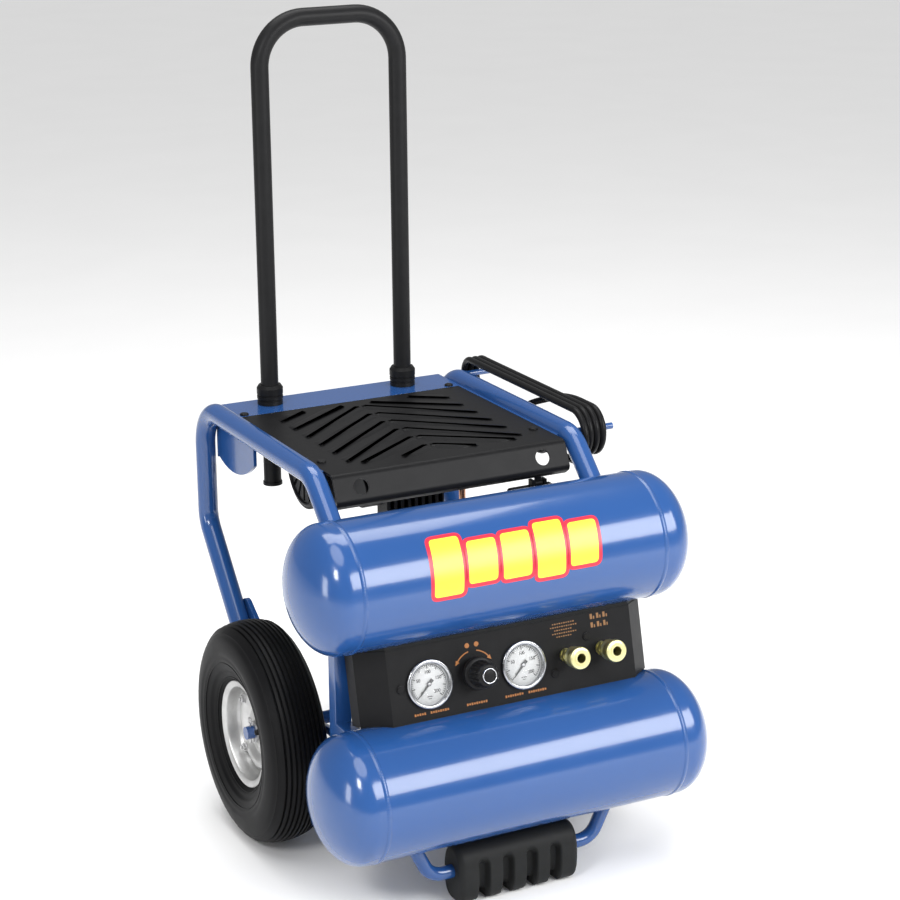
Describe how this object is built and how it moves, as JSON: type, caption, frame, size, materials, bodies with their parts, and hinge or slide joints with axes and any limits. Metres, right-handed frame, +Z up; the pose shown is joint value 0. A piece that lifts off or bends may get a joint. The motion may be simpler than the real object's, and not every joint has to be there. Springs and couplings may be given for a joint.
{
  "type": "hotdog air compressor",
  "caption": "Wheeled twin-tank portable air compressor with a telescoping dolly handle, deck over the pump, gauge panel with regulator and couplers, pneumatic wheels and rubber foot.",
  "frame": {"origin": "bottom centre of the whole machine, on the floor", "axes": "+Z up, +X to the right along the tanks, +Y towards the wheels and handle, -Y towards the control panel"},
  "size_m": [0.494, 0.582, 0.9751],
  "materials": {
    "blue_paint": "gloss",
    "black_paint": "satin",
    "black_panel": "satin",
    "steel": "satin",
    "zinc": "satin",
    "brass": "satin",
    "tyre_rubber": "matte",
    "rubber": "matte",
    "black_plastic": "satin",
    "cast_aluminium": "cast",
    "cord_black": "satin",
    "clear_lens": "clear",
    "white_case": "satin",
    "red_needle": "satin",
    "iron": "cast"
  },
  "bodies": {
    "frame": {"axle": "steel", "axle_fasteners": "zinc", "check_valve": "brass", "control_panel": "black_panel", "cord_coil": "cord_black", "cord_hooks": "blue_paint", "cord_lead": "cord_black", "coupler_1_body": "brass", "coupler_2_body": "brass", "crankcase": "cast_aluminium", "cylinder": "cast_aluminium", "cylinder_head": "cast_aluminium", "deck_frame": "blue_paint", "deck_plate": "black_paint", "deck_screws": "zinc", "discharge_tube": "brass", "drain_valve": "brass", "fan_guard": "black_plastic", "foot_pad": "rubber", "foot_tube": "blue_paint", "handle_bushings": "black_plastic", "head_bolts": "zinc", "intake_filter": "black_plastic", "lower_tank": "blue_paint", "manifold": "cast_aluminium", "motor_housing": "black_paint", "outlet_gauge_case": "zinc", "outlet_gauge_lens": "clear_lens", "panel_screws": "black_paint", "plug": "rubber", "pressure_switch": "black_plastic", "regulator_body": "brass", "safety_valve": "brass", "side_tube_left": "blue_paint", "side_tube_right": "blue_paint", "stator": "iron", "strain_relief": "rubber", "tank_gauge_case": "zinc", "tank_gauge_lens": "clear_lens", "tank_link_pipe": "brass", "tank_struts": "blue_paint", "upper_tank": "blue_paint", "wheel_bracket_left": "blue_paint", "wheel_bracket_right": "blue_paint"},
    "handle": {"handle": "black_paint"},
    "wheel_left": {"tyre_left": "tyre_rubber", "rim_left": "zinc"},
    "wheel_right": {"tyre_right": "tyre_rubber", "rim_right": "zinc"},
    "regulator_knob": {"regulator_knob": "black_plastic"},
    "tank_needle": {"tank_gauge_needle": "red_needle"},
    "outlet_needle": {"outlet_gauge_needle": "red_needle"},
    "coupler_1_sleeve": {"coupler_1_sleeve": "brass"},
    "coupler_2_sleeve": {"coupler_2_sleeve": "brass"},
    "switch_lever": {"switch_lever": "black_plastic"},
    "safety_ring": {"safety_ring": "steel"},
    "drain_handle": {"drain_handle": "brass"},
    "crank": {"rotor_and_crank": "iron", "fan": "black_plastic"},
    "piston": {"piston_and_rod": "cast_aluminium"}
  },
  "joints": [
    {"name": "handle_slide", "type": "slide", "parent": "frame", "child": "handle", "axis": [0, 0, 1], "range_m": [-0.35, 0]},
    {"name": "left_wheel_spin", "type": "hinge", "parent": "frame", "child": "wheel_left", "pos_m": [-0.198, 0.054, 0.136], "axis": [1, 0, 0], "continuous": true},
    {"name": "right_wheel_spin", "type": "hinge", "parent": "frame", "child": "wheel_right", "pos_m": [0.198, 0.054, 0.136], "axis": [1, 0, 0], "continuous": true},
    {"name": "regulator_turn", "type": "hinge", "parent": "frame", "child": "regulator_knob", "pos_m": [-0.041, -0.20455, 0.27315], "axis": [0, -0.9744, 0.225], "range_deg": [-360, 360]},
    {"name": "tank_gauge_sweep", "type": "hinge", "parent": "frame", "child": "tank_needle", "pos_m": [-0.099, -0.20522, 0.27023], "axis": [0, -0.9744, 0.225], "range_deg": [-270, 0]},
    {"name": "outlet_gauge_sweep", "type": "hinge", "parent": "frame", "child": "outlet_needle", "pos_m": [0.0216, -0.20522, 0.27023], "axis": [0, -0.9744, 0.225], "range_deg": [-270, 0]},
    {"name": "coupler_1_retract", "type": "slide", "parent": "frame", "child": "coupler_1_sleeve", "axis": [0, 0.9744, -0.225], "range_m": [0, 0.006], "stiffness_N_per_m": 900, "springref_m": -0.002},
    {"name": "coupler_2_retract", "type": "slide", "parent": "frame", "child": "coupler_2_sleeve", "axis": [0, 0.9744, -0.225], "range_m": [0, 0.006], "stiffness_N_per_m": 900, "springref_m": -0.002},
    {"name": "switch_lever_turn", "type": "hinge", "parent": "frame", "child": "switch_lever", "pos_m": [0.125, -0.053, 0.431], "axis": [1, 0, 0], "range_deg": [-35, 35]},
    {"name": "safety_ring_pull", "type": "slide", "parent": "frame", "child": "safety_ring", "axis": [0, 1, 0], "range_m": [0, 0.004], "stiffness_N_per_m": 1500, "springref_m": -0.002},
    {"name": "drain_turn", "type": "hinge", "parent": "frame", "child": "drain_handle", "pos_m": [0, -0.173, 0.072], "axis": [0, 1, 0], "range_deg": [0, 90]},
    {"name": "crank_spin", "type": "hinge", "parent": "frame", "child": "crank", "pos_m": [0, 0.14, 0.431], "axis": [1, 0, 0], "continuous": true},
    {"name": "piston_stroke", "type": "slide", "parent": "frame", "child": "piston", "axis": [0, 1, 0], "range_m": [-0.008, 0.008]}
  ]
}
